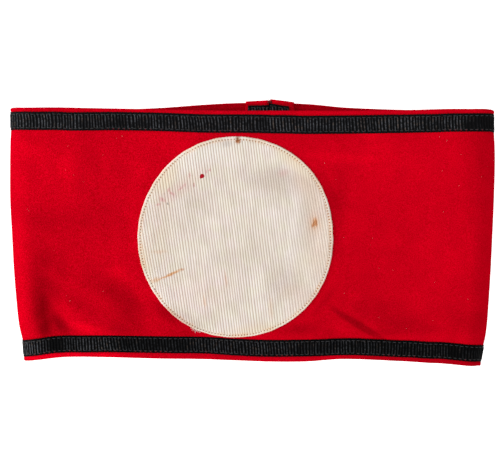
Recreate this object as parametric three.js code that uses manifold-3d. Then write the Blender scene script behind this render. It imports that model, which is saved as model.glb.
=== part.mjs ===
// A wool armband lying flat on its rear panel: a loop of cloth closed by one seam, two ribbons sewn
// round it and a round patch on its front. Millimetres: +X runs along the band, +Y to its upper edge
// and +Z up from the surface that it lies on.
import * as THREE from "three";
import { mergeVertices } from "three/addons/utils/BufferGeometryUtils.js";
import Module from "manifold-3d";

const { clamp, degToRad, lerp, smoothstep } = THREE.MathUtils;

// The cloth loop
const bandHeight = 108.8; // upper edge to lower edge
const loopWidth = 202; // end to end, along the two edges
const clothThickness = 1.5;
const edgeRound = 0.6; // how far the rounded edge stands out past the two faces
const loopHeight = 9; // outer face to outer face, where the loop turns round at its ends
const panelPuff = 0.8; // how far the cloth swells out between the ribbons that hold it in
const frontRise = 3.2; // how much higher the front panel lies at its middle
const frontSettle = 1; // how much lower it lies between the two edges than along them
const settleRun = 6; // how far from the ends the rear panel takes to settle on the surface
const hemReach = { from: 0.2, to: 0.8 }; // shares of the half height where the hems' straying sets in

// The rear seam, pressed open on the inside
const seamX = 7.6;
const allowance = 10.5; // from the seam to each raw edge
const pressedGap = 0.3; // between a panel and its allowance
const seamGap = 0.9; // from the seam to each fold, room for the ribbons caught in it
const seamClosing = 0.75; // how far the folds close up between the ribbons
const tabRise = 0.8; // how far the allowances stand above the panel at the upper edge
const stitchedHeight = 80; // the length of seam between the ribbons
const stitchedWidth = 0.9;
const stitchedDepth = 1.4;

// The ribbons
const ribbonWidth = 7.2;
const upperInset = 1.8; // cloth that shows outside the ribbon, at the upper and the lower edge
const lowerInset = 2.1;
const ribbonThickness = 1;
const ribbonPinch = 0.5; // what is left of the thickness where the seam squeezes it
const ribbonGap = 0.2;
const ribbonStop = 1.5; // short of the raw edge of each allowance
const ribbonRound = 0.2;

// The patch
const patchX = -6.9;
const patchY = -0.1;
const patchRadiusX = 41.4; // it is a little taller than it is wide, and sewn on slightly turned
const patchRadiusY = 43.9;
const patchTurn = -6;
const patchThickness = 1;
const patchGap = 0.3;
const patchRound = 0.5;
const patchSectors = 40;
const patchRings = 5;

// How finely each stretch of the loop is cut
const frontSteps = 34;
const rearSteps = 10;
const endSteps = 8;
const foldSteps = 6;
const seamSteps = 8;
const panelRows = [10, 20, 30, 38]; // heights above and below the middle of the band

// How far the hems stray from a straight line: +Y is up the band, at the upper and the lower edge of
// the front panel and of the rear panel. Both panels agree where the loop turns round at its ends.
const hemTable = [
  { x: -104, frontUpper: 0.7, rearUpper: 0.7, frontLower: -1.7, rearLower: -1.7 },
  { x: -92, frontUpper: 0.7, rearUpper: 0, frontLower: -0.5, rearLower: -0.7 },
  { x: -80, frontUpper: 0.7, rearUpper: -0.5, frontLower: 0.8, rearLower: 0 },
  { x: -64, frontUpper: 0.5, rearUpper: -0.6, frontLower: 0.9, rearLower: 0.2 },
  { x: -40, frontUpper: 0.2, rearUpper: 0.2, frontLower: 0.4, rearLower: 0.3 },
  { x: -22, frontUpper: -0.2, rearUpper: 1.5, frontLower: 0.2, rearLower: 0.3 },
  { x: -8, frontUpper: -0.4, rearUpper: 2.3, frontLower: -0.2, rearLower: 0.3 },
  { x: 8, frontUpper: -0.4, rearUpper: 2.4, frontLower: -0.6, rearLower: 0.3 },
  { x: 24, frontUpper: -0.4, rearUpper: 1.9, frontLower: -0.6, rearLower: 0.3 },
  { x: 40, frontUpper: -0.3, rearUpper: 0.5, frontLower: 0.6, rearLower: 0.3 },
  { x: 66, frontUpper: 0, rearUpper: -0.6, frontLower: -0.7, rearLower: -0.3 },
  { x: 84, frontUpper: 0.3, rearUpper: -0.4, frontLower: -2.3, rearLower: -1.6 },
  { x: 104, frontUpper: 0.2, rearUpper: 0.2, frontLower: -4.8, rearLower: -4.8 },
];

// How much further than along the edges the two ends reach, at heights on the band.
const endTable = [
  { y: -55, left: -0.5, right: 0 },
  { y: -46, left: 0, right: 1.6 },
  { y: -37, left: 1.8, right: 2.3 },
  { y: -28, left: 2.6, right: 2.7 },
  { y: -15, left: 3, right: 2.8 },
  { y: 0, left: 3, right: 2.8 },
  { y: 15, left: 2.9, right: 2.7 },
  { y: 32, left: 2, right: 2.1 },
  { y: 45, left: 1.2, right: 1.3 },
  { y: 55, left: 1, right: 1 },
];

// Soft dents and folds of the front panel. Each is a smooth hollow or ridge about a point, with the
// direction of its length turned from +X, half its length, half its width and its height.
const foldTable = [
  { name: "hollow beside the left end", x: -90.5, y: -28, turn: -80, along: 24, across: 5, lift: -1.1 },
  { name: "fold down from the left end", x: -80, y: -17, turn: -41, along: 16, across: 4, lift: -0.6 },
  { name: "ridge at the lower left", x: -71, y: -40, turn: -22, along: 12, across: 5, lift: 0.7 },
  { name: "hollow left of the patch", x: -54, y: -28, turn: -57, along: 14, across: 6, lift: -0.6 },
  { name: "dent at mid-height, left", x: -86, y: 6.5, turn: 5, along: 10, across: 5, lift: -0.4 },
  { name: "dent at the upper left", x: -70, y: 31, turn: 90, along: 10, across: 6, lift: -0.4 },
  { name: "fold right of the patch", x: 44.5, y: -37, turn: -32, along: 13, across: 4, lift: -0.7 },
  { name: "dent at the lower right", x: 66, y: -38, turn: -25, along: 9, across: 5, lift: -0.4 },
];

const halfHeight = bandHeight / 2;
const halfWidth = loopWidth / 2;
const rearZ = ribbonThickness + ribbonGap; // the cloth's outer face where the ribbons lie under it
const endRadius = loopHeight / 2;
const foldRadius = clothThickness + pressedGap / 2;
const flatHalf = halfWidth - endRadius; // where the panels stop and the ends begin
const innerRibbonEdge = halfHeight - lowerInset - ribbonWidth;
const betweenRibbons = (y) => 1 - smoothstep(Math.abs(y), stitchedHeight / 2, innerRibbonEdge);

// The line that the cloth's outer face follows round the loop, seen from the edge: from the raw edge
// of the left allowance, round the fold, along the rear panel, round the left end, over the front and
// back the same way to the raw edge of the right allowance. facing is the direction that the outer
// face looks in. pinch is 1 where the seam squeezes the ribbons, rise is 1 on the allowances and puff
// is 1 where the cloth swells out between the ribbons.
function clothPath() {
  const path = [];
  const up = 90;
  const down = -90;

  function straight(places, z, facing, flags) {
    for (const x of places) path.push({ x, z, facing, ...flags });
  }

  function arc(centreX, centreZ, radius, fromFacing, toFacing, steps, fromFlags, toFlags) {
    for (let i = 1; i < steps; i++) {
      const share = i / steps;
      const facing = lerp(fromFacing, toFacing, share);
      path.push({
        x: centreX + radius * Math.cos(degToRad(facing)),
        z: centreZ + radius * Math.sin(degToRad(facing)),
        facing,
        pinch: lerp(fromFlags.pinch, toFlags.pinch, share),
        rise: lerp(fromFlags.rise, toFlags.rise, share),
        puff: lerp(fromFlags.puff, toFlags.puff, share),
      });
    }
  }

  function spaced(from, to, steps) {
    return Array.from({ length: steps + 1 }, (_, i) => lerp(from, to, i / steps));
  }

  const onTab = { pinch: 1, rise: 1, puff: 0 };
  const onSeam = { pinch: 1, rise: 0, puff: 0 };
  const onRear = { pinch: 0, rise: 0, puff: 0 };
  const onFront = { pinch: 0, rise: 0, puff: 1 };
  const leftFoldX = seamX - seamGap - foldRadius;
  const rightFoldX = seamX + seamGap + foldRadius;
  const foldZ = rearZ + foldRadius;
  const tabZ = rearZ + 2 * foldRadius;
  const endZ = rearZ + endRadius;
  const frontZ = rearZ + loopHeight;
  const leftTab = [seamX - allowance, seamX - allowance + ribbonStop, leftFoldX];
  const rightTab = [rightFoldX, seamX + allowance - ribbonStop, seamX + allowance];

  straight(leftTab, tabZ, up, onTab);
  arc(leftFoldX, foldZ, foldRadius, up, down, foldSteps, onTab, onSeam);
  straight(spaced(leftFoldX, -flatHalf, rearSteps), rearZ, down, onRear);
  arc(-flatHalf, endZ, endRadius, down, down - 180, endSteps, onRear, onFront);
  straight(spaced(-flatHalf, flatHalf, frontSteps), frontZ, up, onFront);
  arc(flatHalf, endZ, endRadius, up, down, endSteps, onFront, onRear);
  straight(spaced(flatHalf, rightFoldX, rearSteps), rearZ, down, onRear);
  arc(rightFoldX, foldZ, foldRadius, down, down - 180, foldSteps, onSeam, onTab);
  straight(rightTab, tabZ, up, onTab);
  return path;
}

// One column of a table at a place between its rows, on a smooth curve through them.
function readTable(table, key, column, place) {
  const last = table.length - 1;
  const at = clamp(place, table[0][key], table[last][key]);
  let i = 0;
  while (i < last - 1 && table[i + 1][key] < at) i += 1;
  const slope = (k) => {
    const before = table[Math.max(k - 1, 0)];
    const after = table[Math.min(k + 1, last)];
    return (after[column] - before[column]) / (after[key] - before[key]);
  };
  const from = table[i];
  const to = table[i + 1];
  const span = to[key] - from[key];
  const t = (at - from[key]) / span;
  const t2 = t * t;
  const t3 = t2 * t;
  return (
    from[column] * (2 * t3 - 3 * t2 + 1) +
    slope(i) * span * (t3 - 2 * t2 + t) +
    to[column] * (3 * t2 - 2 * t3) +
    slope(i + 1) * span * (t3 - t2)
  );
}

// The height that the folds and dents add at a place on the front panel.
function foldsAt(x, y) {
  let height = 0;
  for (const fold of foldTable) {
    const turn = degToRad(fold.turn);
    const along = (x - fold.x) * Math.cos(turn) + (y - fold.y) * Math.sin(turn);
    const across = (y - fold.y) * Math.cos(turn) - (x - fold.x) * Math.sin(turn);
    height += fold.lift * Math.exp(-((along / fold.along) ** 2) - (across / fold.across) ** 2);
  }
  return height;
}

// Carries a point of the straight, even loop to where the worn cloth lies. It moves the whole wall
// together, because its height changes only between the two layers.
function drape(point) {
  const layersMeet = rearZ + 2 * foldRadius + ribbonGap + ribbonPinch * ribbonThickness;
  const frontInside = rearZ + loopHeight - clothThickness;
  const front = smoothstep(point.z, layersMeet, frontInside);
  const { x, y } = point;
  const across = x / halfWidth;
  const height = Math.abs(y) / halfHeight;

  const reach = x < 0 ? -readTable(endTable, "y", "left", y) : readTable(endTable, "y", "right", y);
  const nearSeam = 1 - smoothstep(Math.abs(x - seamX), allowance, 2 * allowance);
  point.x += reach * across * across;
  point.x += Math.sign(seamX - x) * seamClosing * (1 - front) * nearSeam * betweenRibbons(y);

  const edge = y > 0 ? "Upper" : "Lower";
  const frontHem = readTable(hemTable, "x", "front" + edge, x);
  const rearHem = readTable(hemTable, "x", "rear" + edge, x);
  point.y += lerp(rearHem, frontHem, front) * smoothstep(height, hemReach.from, hemReach.to);

  const arch = frontRise * (1 - across * across) - frontSettle * (1 - height * height);
  const onPanel = 1 - smoothstep(Math.abs(x), flatHalf - settleRun, flatHalf);
  point.z += front * (arch + foldsAt(x, y));
  point.z -= (1 - front) * rearZ * betweenRibbons(y) * onPanel;
  return point;
}

// Closed geometry from corner points and triangles of their numbers.
function geometryFrom(corners, triangles) {
  const geometry = new THREE.BufferGeometry();
  geometry.setFromPoints(corners);
  geometry.setIndex(triangles);
  geometry.computeVertexNormals();
  return geometry;
}

// A closed strip that follows the path. ring gives the points of its section at a station, up the outer
// face from the lower edge and back down the inner face: y is the height on the band and depth the
// distance out from the line that the path follows.
function stripGeometry(path, ring) {
  const corners = [];
  const triangles = [];
  let count = 0;
  for (const station of path) {
    const angle = degToRad(station.facing);
    const section = ring(station);
    count = section.length;
    for (const { y, depth } of section) {
      const lifted = y + tabRise * station.rise * smoothstep(y, 0, innerRibbonEdge);
      const x = station.x + depth * Math.cos(angle);
      const z = station.z + depth * Math.sin(angle);
      corners.push(drape(new THREE.Vector3(x, lifted, z)));
    }
  }
  for (let i = 0; i + 1 < path.length; i++)
    for (let k = 0; k < count; k++) {
      const a = i * count + k;
      const b = i * count + ((k + 1) % count);
      triangles.push(a, a + count, b, b, a + count, b + count);
    }
  // The two cut ends: rungs across the thickness, from one edge of the strip to the other.
  const lastRing = (path.length - 1) * count;
  for (let low = 0, high = count - 1; low + 1 < high; ) {
    triangles.push(low, low + 1, high);
    triangles.push(lastRing + low, lastRing + high, lastRing + low + 1);
    low += 1;
    if (low + 1 < high) {
      triangles.push(low, high - 1, high);
      triangles.push(lastRing + low, lastRing + high, lastRing + high - 1);
    }
    high -= 1;
  }
  return geometryFrom(corners, triangles);
}

// The cloth, with rounded edges.
function clothGeometry() {
  const faceEdge = halfHeight - edgeRound;
  const rows = [...panelRows, innerRibbonEdge, innerRibbonEdge + ribbonWidth / 2, faceEdge];
  const heights = [...rows.map((y) => -y).reverse(), 0, ...rows];
  const middle = -clothThickness / 2;
  return stripGeometry(clothPath(), (station) => {
    const outer = (y) => ({ y, depth: panelPuff * station.puff * betweenRibbons(y) });
    const inner = (y) => ({ y, depth: outer(y).depth - clothThickness });
    return [
      { y: -halfHeight, depth: middle },
      ...heights.map(outer),
      { y: halfHeight, depth: middle },
      ...heights.toReversed().map(inner),
    ];
  });
}

// The sewn stretch of the seam, a low web between the two folds.
function seamGeometry() {
  const corners = [];
  const triangles = [];
  const middleZ = rearZ + foldRadius;
  for (let i = 0; i <= seamSteps; i++) {
    const y = lerp(-stitchedHeight / 2, stitchedHeight / 2, i / seamSteps);
    for (const [side, level] of [[-1, -1], [1, -1], [1, 1], [-1, 1]]) {
      const point = drape(new THREE.Vector3(seamX, y, middleZ + (level * stitchedDepth) / 2));
      point.x = seamX + (side * stitchedWidth) / 2;
      corners.push(point);
    }
  }
  for (let i = 0; i < seamSteps; i++)
    for (let k = 0; k < 4; k++) {
      const a = i * 4 + k;
      const b = i * 4 + ((k + 1) % 4);
      triangles.push(a, a + 4, b, b, a + 4, b + 4);
    }
  const last = seamSteps * 4;
  triangles.push(0, 1, 2, 0, 2, 3, last, last + 2, last + 1, last, last + 3, last + 2);
  return geometryFrom(corners, triangles);
}

// A ribbon, with its section at one of the band's edges.
function ribbonGeometry(side) {
  const path = clothPath().slice(1, -1);
  const low = side > 0 ? halfHeight - upperInset - ribbonWidth : -halfHeight + lowerInset;
  const high = low + ribbonWidth;
  return stripGeometry(path, (station) => {
    const thickness = ribbonThickness * lerp(1, ribbonPinch, station.pinch);
    const top = ribbonGap + thickness;
    return [
      { y: low, depth: ribbonGap },
      { y: low + ribbonRound, depth: top },
      { y: high - ribbonRound, depth: top },
      { y: high, depth: ribbonGap },
    ];
  });
}

// The round patch: rings of points under and over it, and one point in the middle of each face.
function patchGeometry() {
  const corners = [];
  const triangles = [];
  const faceZ = rearZ + loopHeight + panelPuff + patchGap;
  const turnAxis = new THREE.Vector3(0, 0, 1);

  function addPoint(share, angle, depth) {
    const x = patchRadiusX * share * Math.cos(angle);
    const y = patchRadiusY * share * Math.sin(angle);
    const point = new THREE.Vector3(x, y, 0).applyAxisAngle(turnAxis, degToRad(patchTurn));
    corners.push(drape(point.add(new THREE.Vector3(patchX, patchY, faceZ + depth))));
  }

  function addFace(rim, depth) {
    for (let ring = 1; ring <= patchRings; ring++)
      for (let i = 0; i < patchSectors; i++)
        addPoint((rim * ring) / patchRings, (i / patchSectors) * 2 * Math.PI, depth);
    addPoint(0, 0, depth);
  }

  const perFace = patchRings * patchSectors + 1;
  addFace(1, 0);
  addFace(1 - patchRound / patchRadiusX, patchThickness);
  for (let i = 0; i < patchSectors; i++) {
    const next = (i + 1) % patchSectors;
    const under = perFace - 1;
    const over = 2 * perFace - 1;
    triangles.push(under, next, i, over, perFace + i, perFace + next);
    for (let ring = 0; ring + 1 < patchRings; ring++) {
      const a = ring * patchSectors + i;
      const b = ring * patchSectors + next;
      const c = a + patchSectors;
      const d = b + patchSectors;
      triangles.push(a, b, c, b, d, c);
      triangles.push(perFace + a, perFace + c, perFace + b);
      triangles.push(perFace + b, perFace + c, perFace + d);
    }
    const rim = (patchRings - 1) * patchSectors;
    triangles.push(rim + i, rim + next, perFace + rim + i);
    triangles.push(rim + next, perFace + rim + next, perFace + rim + i);
  }
  return geometryFrom(corners, triangles);
}

const wasm = await Module();
wasm.setup();

function solidFrom(geometry) {
  const bare = geometry.clone();
  bare.deleteAttribute("normal");
  const merged = mergeVertices(bare);
  const vertProperties = merged.getAttribute("position").array;
  const triVerts = new Uint32Array(merged.index.array);
  return new wasm.Manifold(new wasm.Mesh({ numProp: 3, vertProperties, triVerts }));
}

function geometryOf(solid) {
  const mesh = solid.getMesh();
  const geometry = new THREE.BufferGeometry();
  geometry.setAttribute("position", new THREE.BufferAttribute(mesh.vertProperties, mesh.numProp));
  geometry.setIndex(new THREE.BufferAttribute(mesh.triVerts, 1));
  geometry.computeVertexNormals();
  return geometry;
}

const wool = new THREE.MeshStandardMaterial({ color: 0xb80518, roughness: 0.95, metalness: 0 });
const blackRibbon = new THREE.MeshStandardMaterial({ color: 0x1c1c1e, roughness: 0.7, metalness: 0 });
const whiteCloth = new THREE.MeshStandardMaterial({ color: 0xdccdc0, roughness: 0.8, metalness: 0 });

const armband = new THREE.Group();
armband.name = "armband";

function addPiece(name, geometry, material) {
  const mesh = new THREE.Mesh(geometry, material);
  mesh.name = name;
  armband.add(mesh);
}

const cloth = solidFrom(clothGeometry()).add(solidFrom(seamGeometry()));
addPiece("band", geometryOf(cloth), wool);
addPiece("ribbon_top", ribbonGeometry(1), blackRibbon);
addPiece("ribbon_bottom", ribbonGeometry(-1), blackRibbon);
addPiece("disc", patchGeometry(), whiteCloth);

// The origin is the middle of the underside.
armband.updateMatrixWorld(true);
const box = new THREE.Box3().setFromObject(armband, true);
armband.position.set(-(box.min.x + box.max.x) / 2, -(box.min.y + box.max.y) / 2, -box.min.z);

export default armband;
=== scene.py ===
"""A worn wool armband that lies flat on a pale table: a red cloth loop closed by one seam, a black
ribbed ribbon sewn round each edge and a bare, round, off-white patch on the front."""

import math

import bpy
import numpy as np
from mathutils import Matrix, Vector


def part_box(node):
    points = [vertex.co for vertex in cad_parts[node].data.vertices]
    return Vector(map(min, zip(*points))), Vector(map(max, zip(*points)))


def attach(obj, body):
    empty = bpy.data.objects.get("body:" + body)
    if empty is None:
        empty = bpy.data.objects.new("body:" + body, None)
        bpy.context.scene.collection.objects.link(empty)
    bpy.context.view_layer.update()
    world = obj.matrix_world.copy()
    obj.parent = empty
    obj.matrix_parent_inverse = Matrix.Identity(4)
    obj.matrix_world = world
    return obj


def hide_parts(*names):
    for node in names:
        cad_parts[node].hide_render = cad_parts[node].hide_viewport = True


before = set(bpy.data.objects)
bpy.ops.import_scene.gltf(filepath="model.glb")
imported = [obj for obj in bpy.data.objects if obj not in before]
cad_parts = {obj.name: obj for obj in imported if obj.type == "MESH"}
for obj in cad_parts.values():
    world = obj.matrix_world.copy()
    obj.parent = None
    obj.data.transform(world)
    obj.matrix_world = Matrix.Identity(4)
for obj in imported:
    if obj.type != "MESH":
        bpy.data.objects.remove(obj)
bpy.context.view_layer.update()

# The view and the light. The camera looks almost straight down, from a little beyond the upper edge,
# so that the mouth of the loop and the seam inside it show above the front panel. The room is bright
# and even, with a window low at the left, and the table is as white as a light box.
mm = 0.001
sight_distance = 360 * mm
sight_tilt = math.radians(10.5)
sight_target = Vector((-1, 5.3, 8)) * mm
towards_camera = Vector((0, math.sin(sight_tilt), math.cos(sight_tilt)))

bpy.ops.object.camera_add(
    location=sight_target + towards_camera * sight_distance, rotation=(-sight_tilt, 0, 0)
)
camera = bpy.context.object
camera.data.sensor_width = 36
camera.data.lens = 60
bpy.context.scene.camera = camera

room_light = 0.7
lamp_table = [
    {"name": "window_left", "azimuth": 178, "elevation": 21.5, "spread": 24, "strength": 2.2},
    {"name": "window_below", "azimuth": 265, "elevation": 20, "spread": 50, "strength": 0.5},
]
for lamp in lamp_table:
    azimuth = math.radians(lamp["azimuth"])
    elevation = math.radians(lamp["elevation"])
    level = math.cos(elevation)
    towards_lamp = Vector(
        (level * math.cos(azimuth), level * math.sin(azimuth), math.sin(elevation))
    )
    bpy.ops.object.light_add(
        type="SUN", location=towards_lamp, rotation=towards_lamp.to_track_quat("Z", "Y").to_euler()
    )
    light = bpy.context.object
    light.name = lamp["name"]
    light.data.angle = math.radians(lamp["spread"])
    light.data.energy = lamp["strength"]

world = bpy.data.worlds.new("soft_room")
world.use_nodes = True
bpy.context.scene.world = world
sky = world.node_tree.nodes["Background"]
sky.inputs["Color"].default_value = (1, 1, 1, 1)
seen_sky = world.node_tree.nodes.new("ShaderNodeLightPath")
sky_strength = world.node_tree.nodes.new("ShaderNodeMix")
sky_strength.inputs[2].default_value = room_light
sky_strength.inputs[3].default_value = 1
world.node_tree.links.new(seen_sky.outputs["Is Camera Ray"], sky_strength.inputs[0])
world.node_tree.links.new(sky_strength.outputs[0], sky.inputs["Strength"])

table_gap = 0.02 * mm
bpy.ops.mesh.primitive_plane_add(size=6, location=(0, 0, -table_gap))
table = bpy.context.object
table.name = "table_top"
table_finish = bpy.data.materials.new("white_table")
table_finish.use_nodes = True
table_shader = table_finish.node_tree.nodes["Principled BSDF"]
table_shader.inputs["Base Color"].default_value = (0.8, 0.8, 0.8, 1)
table_shader.inputs["Roughness"].default_value = 0.9
table_shader.inputs["Specular IOR Level"].default_value = 0
table_shader.inputs["Emission Color"].default_value = (1, 1, 1, 1)
seen_table = table_finish.node_tree.nodes.new("ShaderNodeLightPath")
table_finish.node_tree.links.new(
    seen_table.outputs["Is Camera Ray"], table_shader.inputs["Emission Strength"]
)
table.data.materials.append(table_finish)

bpy.context.scene.view_settings.view_transform = "Standard"


# The band: one strip of felted red wool cloth, 1.5 mm thick with raw edges, folded into a loop and
# closed by a seam in the rear panel whose two allowances are pressed open inside. It has lain flat
# for long, so its ends are pressed and the front keeps creases. Sizes are in millimetres.
band_height = 108.8
loop_width = 202
cloth_thickness = 1.5
edge_round = 0.6
loop_height = 9
foot_radius = 1.8
shoulder_run = 9.5
panel_puff = 0.8
front_rise = 3.2
front_settle = 1
settle_run = 6
settle_margin = 4.5
hem_reach = (0.2, 0.8)

seam_x = 7.6
left_allowance = 11.1
right_allowance = 11.3
pressed_gap = 0.3
seam_gap = 0.9
seam_closing = 0.92
ribbon_closing = 0.8
tab_rise = 0.8
stitched_height = 80

ribbon_width = 7.6
upper_inset = 1.7
lower_inset = 2.3
ribbon_bed = 0.25
bed_inside = 0.05
bed_outside = 0.45
ribbon_stand = 0.4
solid_ribbon = 1.2
squeezed_ribbon = 0.5

half_height = band_height / 2
half_width = loop_width / 2
rear_z = solid_ribbon
front_z = rear_z + loop_height
fold_radius = cloth_thickness + pressed_gap / 2
settled_half = half_width - settle_margin
shoulder_drop = loop_height - foot_radius
inner_ribbon_edge = half_height - lower_inset - ribbon_width
outer_ribbon_edge = half_height - upper_inset


def named_rows(names, *rows):
    """The rows of a table by the names of its columns. The last column may be left out."""
    return [dict(zip(names.split(), row)) for row in rows]


# How far the hems stray up the band, at both edges of the front and of the rear panel
hem_table = named_rows(
    "x front_upper rear_upper front_lower rear_lower",
    (-101, 0.3, 0.3, -3.6, -3.6),
    (-98, 0.65, 0.5, -2.4, -2.5),
    (-92, 0.8, 0, -1.05, -1.2),
    (-80, 0.9, -0.5, 0.4, 0),
    (-64, 0.6, -0.6, 0.6, 0.2),
    (-40, 0.2, 0.2, 0.2, 0.3),
    (-22, -0.2, 1.5, 0.1, 0.3),
    (-8, -0.4, 2.3, -0.4, 0.3),
    (8, -0.4, 2.5, -1, 0.3),
    (24, -0.4, 1.9, -1, 0.3),
    (40, -0.4, 0.4, 0, 0.3),
    (66, -0.1, -0.6, -1.35, -0.3),
    (77, 0.2, -0.5, -2.3, -1),
    (84, 0.3, -0.4, -2.8, -1.6),
    (98, -0.1, -0.1, -4.85, -4.6),
    (101, -0.8, -0.8, -6.2, -6.2),
)

# How much further than along the edges the two ends reach
end_table = named_rows(
    "y left right",
    (-55, 1.7, 2.35),
    (-50, 1.55, 2.5),
    (-45, 1.75, 3.1),
    (-37, 2.95, 4),
    (-28, 3.5, 4.3),
    (-15, 3.9, 4.45),
    (0, 3.9, 4.35),
    (15, 3.9, 4.2),
    (32, 3.05, 3.75),
    (44, 2.2, 2.9),
    (50, 1.85, 2.35),
    (55, 1.95, 2.5),
)

# Soft hollows and ridges of the front panel: the middle, the way they run, half length, half width
# and height. The ribbons hold them down.
held_crease = 0.3
crease_table = named_rows(
    "x y turn along across lift",
    (-86.5, -33, -80, 18, 5.5, -2.4),
    (-70, -36, -36, 15, 5.5, 1.6),
    (-78, -18.5, -27, 12, 3.4, 0.9),
    (-80, -24.5, -38, 11, 2.2, -0.5),
    (-55.5, -22.5, -48, 13.5, 5.8, -1.8),
    (-85, 8, 5, 9, 3.5, -0.4),
    (-67, 34, 90, 9, 4.5, -0.5),
    (47, -37.6, -35, 13, 1.6, -0.5),
    (39, -13, 83, 19, 2, 0.2),
    (65, -39, -25, 7, 3, -0.4),
    (92, -36, 0, 6, 2.5, -0.4),
)


def smoothstep(value, low, high):
    share = np.clip((value - low) / (high - low), 0, 1)
    return share * share * (3 - 2 * share)


def blend(start, end, share):
    return start + (end - start) * share


def between_ribbons(y):
    return 1 - smoothstep(np.abs(y), stitched_height / 2, inner_ribbon_edge)


def read_table(rows, key, column, places):
    """A column at places between the rows, on a smooth curve through them."""
    keys = np.array([row[key] for row in rows], float)
    values = np.array([row[column] for row in rows], float)
    before = np.maximum(np.arange(len(rows)) - 1, 0)
    after = np.minimum(np.arange(len(rows)) + 1, len(rows) - 1)
    slopes = (values[after] - values[before]) / (keys[after] - keys[before])
    at = np.clip(places, keys[0], keys[-1])
    i = np.clip(np.searchsorted(keys, at, side="right") - 1, 0, len(rows) - 2)
    span = keys[i + 1] - keys[i]
    t = (at - keys[i]) / span
    t2 = t * t
    t3 = t2 * t
    return (
        values[i] * (2 * t3 - 3 * t2 + 1)
        + slopes[i] * span * (t3 - 2 * t2 + t)
        + values[i + 1] * (3 * t2 - 2 * t3)
        + slopes[i + 1] * span * (t3 - t2)
    )


def creases_at(x, y):
    height = np.zeros_like(x)
    for crease in crease_table:
        turn = math.radians(crease["turn"])
        along = (x - crease["x"]) * math.cos(turn) + (y - crease["y"]) * math.sin(turn)
        across = (y - crease["y"]) * math.cos(turn) - (x - crease["x"]) * math.sin(turn)
        reach = (along / crease["along"]) ** 2 + (across / crease["across"]) ** 2
        height += crease["lift"] * np.exp(-reach)
    return height * blend(held_crease, 1, between_ribbons(y))


def drape(x, y, z):
    """Carries points of the straight, even loop to where the worn cloth lies."""
    layers_meet = rear_z + 2 * fold_radius + solid_ribbon - squeezed_ribbon
    front = smoothstep(z, layers_meet, front_z - cloth_thickness)
    across = x / half_width
    height = np.abs(y) / half_height
    between = between_ribbons(y)
    near_seam = 1 - smoothstep(np.abs(x - seam_x), right_allowance, 2 * right_allowance)
    beyond_ribbon = smoothstep(np.abs(y) - outer_ribbon_edge, -0.1, 0.4)
    closing = blend(ribbon_closing, seam_closing, np.maximum(between, beyond_ribbon))
    reach = np.where(
        x < 0, -read_table(end_table, "y", "left", y), read_table(end_table, "y", "right", y)
    )
    hems = {
        panel: np.where(
            y > 0,
            read_table(hem_table, "x", panel + "_upper", x),
            read_table(hem_table, "x", panel + "_lower", x),
        )
        for panel in ("front", "rear")
    }
    on_panel = 1 - smoothstep(np.abs(x), settled_half - settle_run, settled_half)
    arch = front_rise * (1 - across**2) - front_settle * (1 - height**2)
    settled = blend(rear_z - ribbon_stand, rear_z, between)
    return np.stack(
        [
            x + reach * across**2 + np.sign(seam_x - x) * closing * (1 - front) * near_seam,
            y + blend(hems["rear"], hems["front"], front) * smoothstep(height, *hem_reach),
            z + front * (arch + creases_at(x, y)) - (1 - front) * settled * on_panel,
        ],
        axis=-1,
    )


def strip_line():
    """The line of the cloth's outer face round the loop, from the raw edge of the left allowance to
    that of the right one. facing is the angle that the outer face looks in, rise is how far the
    allowances reach up and puff is 1 where the cloth swells out between the ribbons."""
    fine = 0.05
    columns = {"x": [], "z": [], "facing": [], "rise": [], "puff": []}

    def straight(start, end, z, facing, rise=(0, 0), puff=0):
        x = np.linspace(start, end, round(abs(end - start) / fine))
        rise = np.linspace(*rise, len(x))
        row = {"x": x, "z": z, "facing": facing, "rise": rise, "puff": puff}
        for key in columns:
            columns[key].append(np.broadcast_to(row[key], x.shape))

    def turn(centre, radii, facing, sweep, rise=(0, 0), puff=(0, 0)):
        share = np.linspace(0, 1, round(math.radians(sweep) * max(radii) / fine))[1:-1]
        angle = np.radians(facing - sweep * share)
        outward = np.degrees(np.arctan2(np.sin(angle) / radii[1], np.cos(angle) / radii[0]))
        columns["x"].append(centre[0] + radii[0] * np.cos(angle))
        columns["z"].append(centre[1] + radii[1] * np.sin(angle))
        columns["facing"].append(outward - 360 * np.round((outward - np.degrees(angle)) / 360))
        columns["rise"].append(max(rise) * smoothstep(np.sin(angle), -1, 0))
        columns["puff"].append(blend(*puff, share))

    tab_z = rear_z + 2 * fold_radius
    left_fold = seam_x - seam_gap - fold_radius
    right_fold = seam_x + seam_gap + fold_radius
    foot_x = half_width - foot_radius
    shoulder_x = half_width - shoulder_run
    shoulder_z = front_z - shoulder_drop
    fold = (fold_radius, fold_radius)
    foot = (foot_radius, foot_radius)
    shoulder = (shoulder_run, shoulder_drop)
    straight(seam_x - left_allowance, left_fold, tab_z, 90, rise=(0.8, 1.25))
    turn((left_fold, rear_z + fold_radius), fold, 90, 180, rise=(1.25, 0))
    straight(left_fold, -foot_x, rear_z, -90)
    turn((-foot_x, rear_z + foot_radius), foot, -90, 90)
    turn((-shoulder_x, shoulder_z), shoulder, -180, 90, puff=(0, 1))
    straight(-shoulder_x, shoulder_x, front_z, -270, puff=1)
    turn((shoulder_x, shoulder_z), shoulder, -270, 90, puff=(1, 0))
    turn((foot_x, rear_z + foot_radius), foot, -360, 90)
    straight(foot_x, right_fold, rear_z, -450)
    turn((right_fold, rear_z + fold_radius), fold, -450, 180, rise=(0, 1.8))
    straight(right_fold, seam_x + right_allowance, tab_z, -630, rise=(1.8, 0.7))
    line = {key: np.concatenate(parts) for key, parts in columns.items()}
    steps = np.hypot(np.diff(line["x"]), np.diff(line["z"]))
    line["run"] = np.concatenate([[0], np.cumsum(steps)])
    return line


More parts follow.
